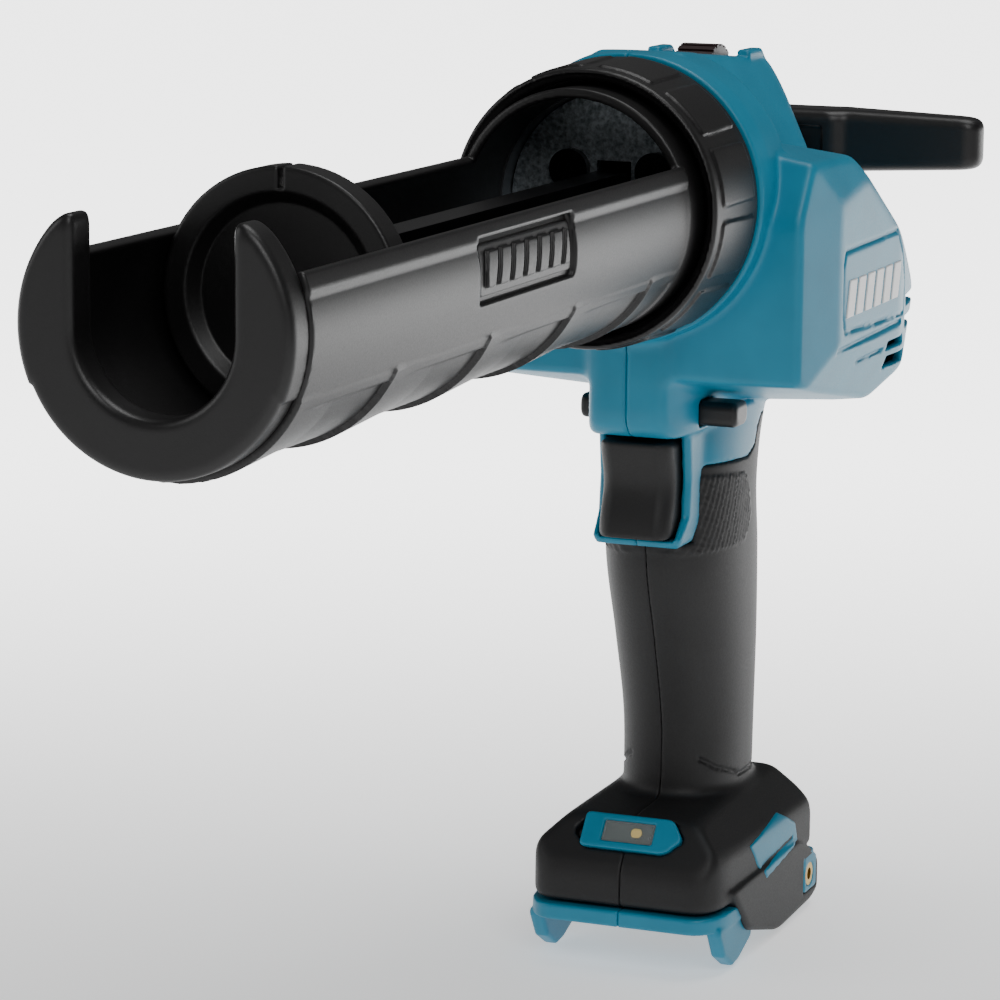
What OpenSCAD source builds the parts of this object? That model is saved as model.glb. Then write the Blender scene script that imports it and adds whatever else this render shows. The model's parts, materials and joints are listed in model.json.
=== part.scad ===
// Battery caulking gun with a half-open cartridge holder.
// Frame: X to the tool's left, -Y forward along the barrel, +Z up.
// The origin is the centre of the flat battery seat under the foot.

/* [Barrel and holder] */
// Height of the barrel's axis above the battery seat
axis_z = 190.5; // [186:0.5:195]
// Reach of the front plate ahead of the battery seat's centre
front_reach = 308; // [300:1:312]
// Outer radius of the front plate
plate_r = 29; // [28:0.5:29.5]
// Thickness of the front plate
plate_t = 9; // [6:0.5:10]
// Radius and half width of the nozzle slot
slot_r = 16.9; // [15:0.1:18]
// Height of the front plate's horns above the axis
horn_h = 24; // [20:0.5:25]
// Outer radius of the holder's trough
trough_r = 30.1; // [29.5:0.1:30.3]
// Wall of the trough
trough_wall = 2.4; // [1.8:0.1:2.4]
// Height of the trough's rims above the axis
rim_h = 12.3; // [8:0.1:14]
// Spacing of the stepped ribs under the trough
rib_pitch = 50.7; // [48:0.1:51]
// How far each rib steps out at its front
rib_step = 0.7; // [0.4:0.1:0.8]

/* [Retaining ring] */
// Length of the retaining ring
ring_len = 30; // [28:0.5:31]
// Outer radius of the ring at its front
ring_r_front = 34.4; // [34.2:0.1:34.8]
// Outer radius of the ring at its back
ring_r_back = 35.4; // [35:0.1:35.6]
// Number of grip pads round the ring
pad_count = 12; // [8:1:16]
// Height of a grip pad
pad_h = 0.5; // [0.3:0.1:0.7]

/* [Rod and plunger] */
// Width of the toothed rod
rod_w = 8; // [7:0.5:8]
// Height of the toothed rod
rod_h = 15; // [14:0.5:15]
// Length of the toothed rod
rod_len = 328; // [327:1:330]
// Radius of the plunger disc
plunger_r = 26.6; // [25:0.1:26.8]
// Distance from the front plate's face back to the plunger's face
plunger_gap = 58; // [50:1:60]
// Reach of the pull handle's bar to the left
handle_reach = 56.5; // [50:0.5:60]
// Height of the pull handle's bar
handle_h = 16; // [14:0.5:16]

/* [Drive] */
// Tooth module of the rod and its pinion
rack_module = 1.25; // [1.25:0.25:1.25]
// Teeth on the rod's pinion
pinion_teeth = 14; // [14:1:14]
// Tooth module of the reduction gears
gear_module = 0.8; // [0.8:0.1:0.8]
// Teeth on the driven gear beside the pinion
driven_teeth = 52; // [52:1:52]
// Teeth on the clutch gear
clutch_teeth = 20; // [20:1:20]
// Tooth module of the planetary stage
planet_module = 0.6; // [0.6:0.1:0.6]
// Teeth on the sun gear
sun_teeth = 12; // [12:1:12]
// Teeth on each planet gear
planet_teeth = 18; // [18:1:18]
// Radius of the motor can
motor_r = 15; // [14:0.5:15]

/* [Housing] */
// Half width of the housing's bulges
bulge_half = 50; // [48:0.5:51]
// Wall of the housing
shell_t = 2.5; // [2:0.1:3]
// Height of the sloping top above the axis, over the battery seat
top_h = 33; // [32:0.5:34]
// Distance from the battery seat's centre back to the housing's rear
rear_y = 60; // [56:1:62]

/* [Grip and foot] */
// Half width of the foot
foot_half = 28; // [26:0.5:29]
// Wall of the soft grip over its core
grip_t = 3; // [2.5:0.1:3.5]
// Travel of the trigger
trigger_travel = 6; // [4:0.5:6]

/* [Hidden] */
$fn = 72;

far = 400;
gap = 0.3;
front_y = -front_reach;
ring_front_y = -75.5;
ring_rear_y = ring_front_y + ring_len;
tube_front_y = -83;
flange_y = -68;
holder_end_y = -60;
collar_r = 32.7;
plate_face_y = -53.4;
bore_r = trough_r - trough_wall;
badge_y = -213;
badge_len = 52;
badge_h = 11;
plunger_y = front_y + plunger_gap;
rod_front_y = plunger_y + 6;
hub_y = rod_front_y + rod_len - 7;

// Side view positions are [y, height above the barrel's axis].
pinion_r = rack_module * pinion_teeth / 2;
pinion_at = [14, -rod_h / 2 + rack_module - pinion_r];
driven_r = gear_module * driven_teeth / 2;
clutch_r = gear_module * clutch_teeth / 2;
drive_slope = 50;
drive_at = pinion_at + (driven_r + clutch_r) * [cos(drive_slope), -sin(drive_slope)];
sun_r = planet_module * sun_teeth / 2;
planet_r = planet_module * planet_teeth / 2;
ring_teeth = sun_teeth + 2 * planet_teeth;
orbit_r = sun_r + planet_r;
case_r = 16.6;
rack_pitch = PI * rack_module;
backlash = 0.12;
lock_at = [-20.5, -56.8];
dial_at = [12, 24];
dial_r = 11;
lead_top = [9, -88];
lead_end = [14, 12.6 - axis_z];

teal = "#007c96";
soft_black = "#2b2a2b";
hard_black = "#1f1e20";
steel = "#9a9da1";
cast_grey = "#8d9094";
brass = "#c9a75a";

// Lifts its children from the barrel's axis frame into the part's frame.
module on_axis() translate([0, 0, axis_z]) children();

// Extrudes a front view outline, [x, height], from y0 to y1.
module along_y(y0, y1) translate([0, y1, 0]) rotate([90, 0, 0]) linear_extrude(y1 - y0) children();

// Extrudes a side view outline, [y, height], from x0 to x1.
module along_x(x0, x1) translate([x0, 0, 0]) rotate([90, 0, 90]) linear_extrude(x1 - x0) children();

// Turns a profile of [radius, y] points about the barrel's axis.
module turned(points) rotate([-90, 0, 0]) rotate_extrude() polygon([for (p = points) [p.x, p.y]]);

// A round bar along Y, and one along X at a side view position.
module bar_y(r, y0, y1) translate([0, y0, 0]) rotate([-90, 0, 0]) cylinder(r = r, h = y1 - y0);
module bar_x(r, at, x0, x1) translate([x0, at.x, at.y]) rotate([0, 90, 0]) cylinder(r = r, h = x1 - x0);

// Pulls an outline's points in by t along both of its axes, towards a middle point.
function pulled_in(points, t, middle) =
    [for (p = points) [p.x - sign(p.x - middle.x) * t, p.y - sign(p.y - middle.y) * t]];

// Outline of a spur gear with straight-flanked teeth; a tooth points along angle 0 at turn 0.
function tooth_points(r, m, step, i, inner) =
    let (tip = inner ? r - 0.9 * m : r + 0.9 * m, root = inner ? r + 1.2 * m : r - 1.2 * m,
         half = step / 4 - backlash / r * 180 / PI / 2, lean = 0.45)
    [[root, (i * step) - half * (1 + lean)], [tip, (i * step) - half * (1 - lean)],
     [tip, (i * step) + half * (1 - lean)], [root, (i * step) + half * (1 + lean)]];
function gear_outline(teeth, m, turn = 0, inner = false) =
    [for (i = [0:teeth - 1]) for (q = tooth_points(m * teeth / 2, m, 360 / teeth, i, inner))
        q.x * [cos(q.y + turn), sin(q.y + turn)]];

// ---- Holder ----

module front_plate() color(hard_black) on_axis() along_y(front_y, front_y + plate_t)
    difference() {
        intersection() {
            circle(r = plate_r);
            translate([-far / 2, -far + horn_h]) square([far, far]);
        }
        circle(r = slot_r);
        translate([-slot_r, 0]) square([2 * slot_r, far]);
    }

// Wedge rib: steps out at its front, and tapers back into the trough.
module rib(y) intersection() {
    turned([[bore_r + 1, y], [trough_r + rib_step, y], [trough_r + rib_step, y + 3],
        [trough_r - 0.2, y + 27], [bore_r + 1, y + 27]]);
    translate([-far / 2, -far / 2, -far - 12]) cube([far, far, far]);
}

module holder_trough() color(hard_black) on_axis() difference() {
    union() {
        intersection() {
            turned([[0, front_y + plate_t], [trough_r, front_y + plate_t], [trough_r, tube_front_y + 1],
                [0, tube_front_y + 1]]);
            translate([-far / 2, -far, -far + rim_h]) cube([far, 2 * far, far]);
        }
        for (i = [0:4]) rib(front_y + 10 + i * rib_pitch);
        turned([[0, tube_front_y], [trough_r, tube_front_y], [trough_r, flange_y], [collar_r - gap, flange_y],
            [collar_r - gap, holder_end_y], [0, holder_end_y]]);
    }
    bar_y(bore_r, front_y, 0);
    intersection() {
        difference() {
            bar_y(trough_r + 3, badge_y - 2, badge_y + badge_len + 2);
            bar_y(trough_r - 1.4, badge_y - 3, badge_y + badge_len + 3);
        }
        translate([-far / 2, badge_y - 3, -4.5]) cube([far, badge_len + 6, badge_h + 3]);
    }
}

module holder_badge() color(soft_black) on_axis() intersection() {
    difference() {
        bar_y(trough_r - 0.5, badge_y, badge_y + badge_len);
        bar_y(trough_r - 1.4, badge_y - 1, badge_y + badge_len + 1);
    }
    translate([0, badge_y, -3]) cube([far, badge_len, badge_h]);
}

module retaining_ring() color(hard_black) on_axis() {
    difference() {
        union() {
            turned([[0, ring_front_y], [ring_r_front - 1.5, ring_front_y], [ring_r_front, ring_front_y + 2],
                [ring_r_back, ring_rear_y], [0, ring_rear_y]]);
            for (i = [0:pad_count - 1]) rotate([0, (i + 0.5) * 360 / pad_count, 0]) ring_pad();
        }
        bar_y(trough_r + 1.3, ring_front_y - 1, ring_rear_y + 1);
        bar_y(collar_r + gap, flange_y - gap, ring_rear_y + 1);
    }
}

module ring_pad() intersection() {
    turned([[30, ring_front_y + 4], [ring_r_front + pad_h, ring_front_y + 4],
        [ring_r_back + pad_h, ring_rear_y - 4], [30, ring_rear_y - 4]]);
    translate([-7.6, -far / 2, 0]) cube([15.2, far, far]);
}

// ---- Rod ----

// The rod's teeth hang below it; a tooth gap stands over the pinion's top tooth.
module rack_rod() color(hard_black) on_axis() difference() {
    translate([-rod_w / 2, rod_front_y, -rod_h / 2]) cube([rod_w, rod_len, rod_h]);
    for (i = [-60:14]) along_x(-far, far) translate([pinion_at.x + i * rack_pitch, -rod_h / 2]) rack_gap();
    for (side = [-1, 1]) translate([side > 0 ? rod_w / 2 - 0.8 : -rod_w / 2 - 1, rod_front_y + 20, -1.5])
        cube([1.8, rod_len - 60, 3]);
    bar_y(2, rod_front_y - 1, rod_front_y + 14);
    translate([0, hub_y + 8, -far / 2]) cylinder(r = 2, h = far);
}

module rack_gap() polygon([[-rack_pitch / 4 - 0.75, -1], [-rack_pitch / 4 - 0.62, 0],
    [-rack_pitch / 4 + 0.4, 2.7], [rack_pitch / 4 - 0.4, 2.7], [rack_pitch / 4 + 0.62, 0],
    [rack_pitch / 4 + 0.75, -1]]);

module plunger() color(hard_black) on_axis() difference() {
    union() {
        turned([[0, plunger_y + 2.5], [19, plunger_y + 2.5], [21, plunger_y], [plunger_r - 0.8, plunger_y],
            [plunger_r, plunger_y + 0.8], [plunger_r, plunger_y + 8], [plunger_r - 3, plunger_y + 8],
            [plunger_r - 3, plunger_y + 6], [9, plunger_y + 6], [9, plunger_y + 14], [0, plunger_y + 14]]);
    }
    translate([-rod_w / 2, rod_front_y, -rod_h / 2]) cube([rod_w, far, rod_h]);
    bar_y(2, plunger_y - 1, rod_front_y + 1);
    bar_y(4.5, plunger_y - 1, plunger_y + 4.1);
    translate([-0.6, plunger_y - 1, 22]) cube([1.2, 20, 10]);
}

module plunger_screw() color(steel) on_axis() difference() {
    union() {
        bar_y(4.2, plunger_y + 1, plunger_y + 4.1);
        bar_y(2, plunger_y + 4, rod_front_y + 13);
    }
    translate([-0.6, plunger_y, -3]) cube([1.2, 2, 6]);
}

module handle_outline() polygon([[-9, hub_y], [14, hub_y], [22, hub_y + 3], [handle_reach - 5, hub_y + 4],
    [handle_reach, hub_y + 8], [handle_reach, hub_y + 12], [handle_reach - 5, hub_y + 16], [-6, hub_y + 16],
    [-9, hub_y + 13]]);

module pull_handle() color(hard_black) on_axis() difference() {
    intersection() {
        translate([0, 0, -20]) linear_extrude(40) handle_outline();
        along_y(0, far) polygon([[-9, -rod_h / 2 - 3], [12, -rod_h / 2 - 3], [22, -4.2], [handle_reach, -2],
            [handle_reach, handle_h - 4], [22, handle_h - 3], [-9, handle_h - 4]]);
    }
    translate([-rod_w / 2, hub_y - 1, -rod_h / 2]) cube([rod_w, 14, rod_h]);
    translate([0, hub_y + 8, -far / 2]) cylinder(r = 2, h = far);
}

module handle_pin() color(steel) on_axis() translate([0, hub_y + 8, -rod_h / 2 - 2.4])
    cylinder(r = 2, h = rod_h + 5);

// ---- Gear housing and drive ----

module gear_housing() color(cast_grey) on_axis() difference() {
    union() {
        bar_y(collar_r, holder_end_y + 0.5, -44);
        along_x(8.2, 11.8) polygon([[-44, -19.5], [-44, 9], [22, 9], [46, -18], [50, -32], [46, -44], [38, -52],
            [28, -53], [20, -44], [-34, -19.5]]);
        along_x(-21, -17.5) polygon([[-44, -19.5], [-44, 9], [24, 9], [44, -16], [44, -42], [28, -45],
            [18, -30], [-34, -19.5]]);
    }
    bar_y(bore_r - 0.3, holder_end_y, plate_face_y + 3);
    translate([-rod_w / 2 - 0.5, -60, -rod_h / 2 - 1.5]) cube([rod_w + 1, 20, rod_h + 4]);
    for (side = [-1, 1]) bar_x(5, pinion_at, side * 14.5 - 8, side * 14.5 + 8);
    bar_x(2, drive_at, -22, -16);
    bar_x(5, drive_at, 8, 12);
    for (p = screw_spots()) translate([p.x, 0, p.y]) bar_y(2, -60, -40);
}

function screw_spots() = [for (x = [-11.3, 11.3]) for (z = [-7.7, 7.7]) [x, z]];

module end_plate() color(steel) on_axis() difference() {
    bar_y(bore_r - 0.6, plate_face_y, plate_face_y + 3);
    translate([-rod_w / 2 - 0.5, -60, -rod_h / 2 - 1.5]) cube([rod_w + 1, 20, rod_h + 4]);
    for (p = screw_spots()) translate([p.x, 0, p.y]) bar_y(2, -60, -40);
}

module plate_screws() color(hard_black) on_axis() for (p = screw_spots()) translate([p.x, 0, p.y])
    difference() {
        union() {
            bar_y(5, plate_face_y - 2.6, plate_face_y);
            bar_y(2, plate_face_y - 1, -45);
        }
        bar_y(2, plate_face_y - 3, plate_face_y - 1.4);
    }

// A gear along X about a side view position, from x0 to x1.
module spur(teeth, m, at, x0, x1, turn, hole_r) translate([0, at.x, at.y]) difference() {
    along_x(x0, x1) polygon(gear_outline(teeth, m, turn));
    bar_x(hole_r, [0, 0], x0 - 1, x1 + 1);
}

module rack_pinion() color(steel) on_axis() spur(pinion_teeth, rack_module, pinion_at, -4.5, 4.5, 90, 3);

module driven_gear() color(steel) on_axis()
    spur(driven_teeth, gear_module, pinion_at, -14, -9, -drive_slope, 3);

module pinion_shaft() color(steel) on_axis() difference() {
    bar_x(3, pinion_at, -20.5, 11.5);
    bar_x(1, pinion_at, -21, -18.5);
}

module pinion_bushes() color(brass) on_axis() for (x = [-21, 8.2]) difference() {
    bar_x(5, pinion_at, x, x + 3.5);
    bar_x(3.05, pinion_at, x - 1, x + 5);
}

module clutch_gear() color(steel) on_axis() {
    spur(clutch_teeth, gear_module, drive_at, -14.5, -9.5, 180 - drive_slope + 180 / clutch_teeth, 2.05);
    for (turn = [0:120:240]) translate([0, drive_at.x, drive_at.y]) rotate([turn, 0, 0])
        translate([-9.6, 3, -1.2]) cube([1.3, 3, 2.4]);
}

module clutch_axle() color(steel) on_axis() bar_x(2, drive_at, -21, -9);

module ring_gear() color(steel) on_axis() translate([0, drive_at.x, drive_at.y]) difference() {
    bar_x(case_r, [0, 0], -4, 8.2);
    along_x(-5, 9) polygon(gear_outline(ring_teeth, planet_module, 0, true));
}

module planet(turn) color(steel) on_axis() translate([0, drive_at.x, drive_at.y]) rotate([turn, 0, 0])
    spur(planet_teeth, planet_module, [orbit_r, 0], -1, 4, 180 / planet_teeth, 1.56);
module planet_a() planet(0);
module planet_b() planet(120);
module planet_c() planet(240);

module carrier() color(steel) on_axis() translate([0, drive_at.x, drive_at.y]) {
    bar_x(12, [0, 0], -3.8, -1.5);
    bar_x(3, [0, 0], -6.5, -3.7);
    for (turn = [0:120:240]) rotate([turn, 0, 0]) bar_x(1.5, [orbit_r, 0], -1.6, 4.6);
}

module clutch_plate() color(brass) on_axis() translate([0, drive_at.x, drive_at.y]) difference() {
    union() {
        bar_x(7, [0, 0], -6.5, -4.5);
        for (turn = [60:120:300]) rotate([turn, 0, 0]) translate([-7.6, 3, -1.2]) cube([1.2, 3, 2.4]);
    }
    bar_x(3, [0, 0], -8, -4);
}

module sun_shaft() color(steel) on_axis() translate([0, drive_at.x, drive_at.y]) {
    spur(sun_teeth, planet_module, [0, 0], -1, 6, 0, 1.5);
    bar_x(1.5, [0, 0], -1, 44.5);
}

module armature() color(brass) on_axis() difference() {
    bar_x(motor_r - 4, drive_at, 17, 35);
    bar_x(1.5, drive_at, 16, 36);
}

module motor_bushes() color(brass) on_axis() for (x = [11.8, 37.5]) difference() {
    bar_x(5, drive_at, x, x + 2);
    bar_x(1.55, drive_at, x - 1, x + 3);
}

module motor_can() color(cast_grey) on_axis() difference() {
    bar_x(motor_r, drive_at, 11.8, 38);
    bar_x(motor_r - 1.5, drive_at, 13.8, 39);
    bar_x(5, drive_at, 11, 15);
}

module motor_cap() color(hard_black) on_axis() difference() {
    union() {
        bar_x(motor_r, drive_at, 38, 40);
        bar_x(motor_r - 1.5, drive_at, 36.5, 38);
    }
    bar_x(5, drive_at, 36, 41);
}

module fan() color(soft_black) on_axis() translate([0, drive_at.x, drive_at.y]) difference() {
    union() {
        bar_x(4, [0, 0], 40.6, 44);
        for (turn = [0:40:320]) rotate([turn, 0, 0]) translate([40.6, 3, -0.6]) cube([3.4, 9, 1.2]);
    }
    bar_x(1.5, [0, 0], 40, 45);
}

// ---- Controls ----

module speed_dial() color("#5a2a2a") on_axis() difference() {
    bar_x(dial_r, dial_at, -5, 5);
    bar_x(1.55, dial_at, -6, 6);
    for (turn = [0:15:345]) translate([0, dial_at.x, dial_at.y]) rotate([turn, 0, 0])
        translate([-6, dial_r - 0.6, -0.5]) cube([12, 2, 1]);
}
module dial_pin() color(steel) on_axis() bar_x(1.5, dial_at, -10, 10);
module dial_board() color("#1d5a34") on_axis() difference() {
    translate([-11, -6, 9.4]) cube([22, 34, 1.6]);
    translate([0, 25, 0]) cylinder(r = 1.5, h = 20);
}

trigger_outline = [[-37, -63.5], [-34.5, -76], [-38, -86], [-33, -88.6], [-24, -88.6], [-24, -63.5]];
module trigger() color(soft_black) on_axis() difference() {
    union() {
        intersection() {
            along_x(-9.8, 9.8) polygon(trigger_outline);
            translate([0, 0, -100]) linear_extrude(60) polygon([[-9.8, -20], [-9.8, -33], [-6, -38], [6, -38],
                [9.8, -33], [9.8, -20]]);
        }
        translate([-4, -24.5, -81]) cube([8, 6, 7.5]);
    }
    bar_y_at(3.2, [0, -70], -31, -23);
}
module bar_y_at(r, at, y0, y1) translate([at.x, 0, at.y]) bar_y(r, y0, y1);

module trigger_spring() color(steel) on_axis() difference() {
    bar_y_at(2.4, [0, -70], -30.9, -14.2);
    bar_y_at(1.7, [0, -70], -31, -14);
}

module switch_body() color(hard_black) on_axis() difference() {
    translate([-9, -14, -92]) cube([18, 26, 27]);
    translate([-4.6, -15, -81.6]) cube([9.2, 11, 8.7]);
    for (x = [-6, 6]) translate([x, lead_top.x, lead_top.y - 6]) cylinder(r = 1.6, h = 8);
}

module lock_outline(spare) translate(lock_at) square([10, 6.4] + 2 * [spare, spare], center = true);
module lock_button() color(soft_black) on_axis() difference() {
    along_x(-18.8, 24) lock_outline(0);
    translate([-1.5, lock_at.x - 1.5, lock_at.y - 4]) cube([3, 3, 3]);
}
module lock_link() color(steel) on_axis() translate([-1.5, lock_at.x - 1.5, lock_at.y - 6.3])
    cube([3, 3, 5.3]);

// ---- Housing ----

// Flat faces, each [x, y, height] of its outward normal and its offset, for the left side and the middle.
hump_faces = [[1, 0, 0.52, 30.33], [1, 0, 0, 27], [0, 0.085, 1, top_h], [0, 0.894, 1, 55.8],
    [0.929, 0.37, 0.414, 36.1], [0.929, 0.37, 0.69, 43.3], [0, 1, 0, rear_y], [0, -1, 0, 36.5], [0, 0, -1, 30]];
bulge_faces = [[1, 0, 0, bulge_half], [0, -1, 0, 40], [0, -0.893, 0.45, 33.65], [0.958, -0.285, 0, 54.2],
    [0.964, -0.257, 0.066, 52.9], [1, 0, 0.035, bulge_half - 0.48], [0.949, -0.048, 0.311, 47.56],
    [0.163, 0, 0.987, 16.8], [0.01, 0.567, 1, 7.5], [0.929, 0.37, 0.68, 49], [0, 1, 0, rear_y],
    [0.987, 0.159, 0, 54.44], [0.929, 0.37, 0.336, 54.1], [0.929, 0.37, -0.266, 74],
    [0.929, 0.37, -1.84, 156.5], [0.068, -0.171, -0.983, 55.8], [0, -0.259, -0.966, 55],
    [0.931, -0.042, -0.361, 61.05], [0, 0, -1, 62], [0, 0.809, -0.588, 72.05]];

// Everything on the inner side of a flat face.
module within(normal, offset) rotate([0, acos(normal.z / norm(normal)), atan2(normal.y, normal.x)])
    translate([-far, -far, offset / norm(normal) - 2 * far]) cube(2 * far);

// The solid between a list of faces and their mirror images, with every face set t further in.
function both_sides(faces) = concat(faces, [for (f = faces) if (f.x != 0) [-f.x, f.y, f.z, f[3]]]);
module between(faces, t) intersection_for (f = both_sides(faces))
    within([f.x, f.y, f.z], f[3] - t * norm([f.x, f.y, f.z]));

// The head's outer shape, or with t its hollow.
module head_solid(t) {
    between(hump_faces, t);
    between(bulge_faces, t);
}

module neck() intersection() {
    turned([[0, ring_rear_y + gap], [neck_r - 0.8, ring_rear_y + gap], [neck_r, -38], [neck_r, -25],
        [0, -25]]);
    within([0, 0.085, 1], top_h);
}

module block() intersection() {
    along_x(-far, far) polygon(block_outline);
    translate([0, 0, -70]) linear_extrude(60) polygon(block_plan);
}

neck_r = 37;
guard_half = 13.5;
block_plan = [[-9.5, -43], [9.5, -43], [14.5, -30], [14.5, 8], [-14.5, 8], [-14.5, -30]];
block_outline = [[-43, -30], [-43, -58], [-38, -62], [8, -62], [8, -30]];
guard_outline = [[-30, -60], [-30, -62], [-28, -74], [-29, -84], [-35, -88.8], [-34, -91.5], [-22, -91.5],
    [-16, -84], [-14, -76], [-4, -70], [8, -66], [8, -60]];
core_outline = [[-14, -60], [24, -60], [20, -90], [22, -120], [26, -165.5], [2, -165.5], [-2, -120],
    [-12, -91]];
core_hollow = [[-10, -92], [17, -92], [18, -120], [22, -170], [6, -170], [2, -120]];
trigger_hollow = [[-60, -62], [-60, -89.3], [-25, -89.3], [-14, -92.2], [12.2, -92.2], [12.2, -64.8],
    [-14, -62]];
foot_box = [[-32.5, 0], [-32.5, 14], [-24, 25.5], [38.5, 25.5], [38.5, 0]];
head_bosses = [[-30, 22], [32.5, 15], [53, -13.5], [0, -50], [-33, -47], [21, -57]];
grip_bosses = [[3, -118], [7, -156]];
boss_spots = concat(head_bosses, grip_bosses);
// Floor and height of each cooling slot at the rear of the bulges.
vents = [[-35, 2.5], [-41, 3], [-46, 2.5], [-53, 3.5]];

module head_outer() {
    head_solid(0);
    neck();
    block();
}

// Teal shell of both halves together, before it is parted down the middle.
module shell() difference() {
    union() {
        difference() {
            head_outer();
            head_solid(shell_t);
            bar_y(32.8, -60, -42.6);
            along_y(-44, -30) square([50, 40], center = true);
            translate([0, 0, -62.1]) linear_extrude(32.1)
                polygon([[-8, -40.5], [8, -40.5], [11.5, -29], [11.5, 5.3], [-11.5, 5.3], [-11.5, -29]]);
        }
        intersection() {
            head_outer();
            for (b = head_bosses) bar_x(5.5, b, -far, far);
        }
        for (side = [-1, 1]) translate([side * 8.5 - 1.5, dial_at.x - 5, dial_at.y - 4]) cube([3, 10, 10.5]);
        for (side = [-1, 1]) translate([side * 12.4 - 1.8, 9, top_h - 3]) cube([3.6, 13, 3.9]);
        along_x(-guard_half, guard_half) polygon(guard_outline);
        difference() {
            along_x(-12, 12) polygon(core_outline);
            along_x(-9.2, 9.2) polygon(core_hollow);
        }
        for (b = grip_bosses) bar_x(4.5, b, -12, 12);
        translate([0, 0, -axis_z]) foot_shell();
    }
    along_x(-10.2, 10.2) polygon(trigger_hollow);
    along_x(-far, far) lock_outline(0.4);
    translate([-5.5, dial_at.x - dial_r - 0.5, 20]) cube([11, 2 * dial_r + 1, 20]);
    bar_x(1.5, dial_at, -10, 10);
    along_y(40, 80) square([rod_w + 2, rod_h + 3], center = true);
    for (b = boss_spots) {
        bar_x(1.6, b, -30, 10);
        bar_x(3.8, b, -60, -9);
    }
    translate([-7, lock_at.x - 2, lock_at.y - 7]) cube([9, 4, 8]);
    for (v = vents) for (side = [-1, 1]) translate([side * bulge_half - 8, 42, v.x]) cube([16, 40, v.y]);
}

// Teal box inside the foot, its rim and floor, and a latch prong on each side.
module foot_shell() {
    difference() {
        union() {
            linear_extrude(4.5) foot_outline(0);
            along_x(-20.5, 20.5) polygon(foot_box);
        }
        along_x(-19, 19) polygon(pulled_in(foot_box, 1.5, [0, 12])
            + [for (p = foot_box) [0, p.y < 1 ? 1.5 : 0]]);
        translate([-9.2, 5, 20]) cube([18.4, 17, 10]);
        translate([-14, -20, -1]) cube([28, 34, 10]);
        bar_x(3.4, insert_at, -60, 60);
    }
    for (side = [-1, 1]) translate([side * 25 - 1.5, 0, 0]) rotate([90, 0, 90]) linear_extrude(3)
        polygon([[-32, 0], [-31, -9], [-27, -12.5], [-21, -11.5], [-13, -2], [-13, 0]]);
}

module foot_outline(t) polygon(pulled_in([[-20, -42], [20, -42], [foot_half - 2, -34], [foot_half, -10],
    [foot_half, 40], [-foot_half, 40], [-foot_half, -10], [-foot_half + 2, -34]], t, [0, 0]));

module half(side) intersection() {
    children();
    translate([side > 0 ? 0 : -far, -far, -far]) cube([far, 2 * far, 2 * far]);
}

module housing_left() color(teal) on_axis() half(1) shell();
module housing_right() color(teal) on_axis() half(-1) shell();

// ---- Grip and foot ----

// One level of the grip: height, middle, half width and half depth.
grip_levels = [[-62, 6, 16.8, 31], [-78, 2, 18, 28], [-98, 4, 18, 28.5], [-120, 8.5, 17.2, 25.5],
    [-143, 12, 16.2, 22.5], [-163, 12, 15.8, 23]];
module level(l) translate([0, l[1], l[0]]) linear_extrude(0.2) scale([l[2], l[3]]) circle(r = 1, $fn = 32);
module grip_solid() for (i = [0:4]) hull() {
    level(grip_levels[i]);
    level(grip_levels[i + 1]);
}

foot_side = [[-42, 4.5], [-42, 14], [-31, 27.5], [-12, 30], [36, 30], [40, 20], [40, 4.5]];
foot_front = [[-foot_half, 4.5], [-foot_half, 17], [-16, 30], [16, 30], [foot_half, 17], [foot_half, 4.5]];
module foot_solid() {
    intersection() {
        linear_extrude(40) foot_outline(0);
        along_x(-far, far) polygon(foot_side);
        along_y(-far, far) polygon(foot_front);
    }
    for (side = [-1, 1]) translate([side > 0 ? foot_half - 4 : -foot_half, 0, 0]) rotate([90, 0, 90])
        linear_extrude(4) polygon([[-12, 0], [0, -9.5], [12, -11.3], [38, -9], [43, -4], [43, 4], [24, 14],
            [-4, 14]]);
}

module soft_cover() difference() {
    union() {
        on_axis() grip_solid();
        foot_solid();
    }
    on_axis() {
        block();
        along_x(-guard_half, guard_half) polygon(guard_outline);
        along_x(-12, 12) polygon(core_outline);
        along_x(-10.2, 10.2) polygon(trigger_hollow);
        head_solid(0);
        for (b = grip_bosses) bar_x(4.5, b, -60, 12);
    }
    linear_extrude(4.5) foot_outline(0);
    along_x(-20.5, 20.5) polygon(foot_box);
    bezel_cut();
    bar_x(3.2, insert_at, -60, 60);
}

module grip_left() color(soft_black) half(1) soft_cover();
module grip_right() color(soft_black) half(-1) soft_cover();

// Threaded metal inserts for a hook, one in each side block of the foot.
insert_at = [34, -2];
module foot_inserts() color(brass) for (side = [-1, 1]) difference() {
    bar_x(3.2, insert_at, side * 26 - 2.2, side * 26 + 2.2);
    bar_x(1.65, insert_at, side * 26 - 3, side * 26 + 3);
}

module badge_left() color("#e8e8e8") on_axis() translate([bulge_half, -18, -31.5]) cube([0.5, 49, 11.5]);
module badge_right() color("#e8e8e8") on_axis() translate([-bulge_half - 0.5, -18, -31.5])
    cube([0.5, 49, 11.5]);

// ---- Lamp, board and terminals ----

module tilted() translate([0, -34.3, 23.4]) rotate([50.8, 0, 0]) children();
module bezel_cut() tilted() translate([-13.5, -5.3, -5]) cube([27, 10.6, 12]);
module led_bezel() color(teal) tilted() difference() {
    translate([-13.4, -5.2, -1.5]) cube([26.8, 10.4, 2.5]);
    translate([-7, -3, -5]) cube([14, 6, 12]);
}
module led_lens() color("#e9eef2") tilted() translate([-6.9, -2.9, -1]) cube([13.8, 5.8, 1.4]);
module led_board() color("#1d5a34") tilted() difference() {
    translate([-9, -4.5, -3.6]) cube([18, 9, 1.6]);
    translate([6, 0, -4]) cylinder(r = 0.8, h = 3);
}

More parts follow.
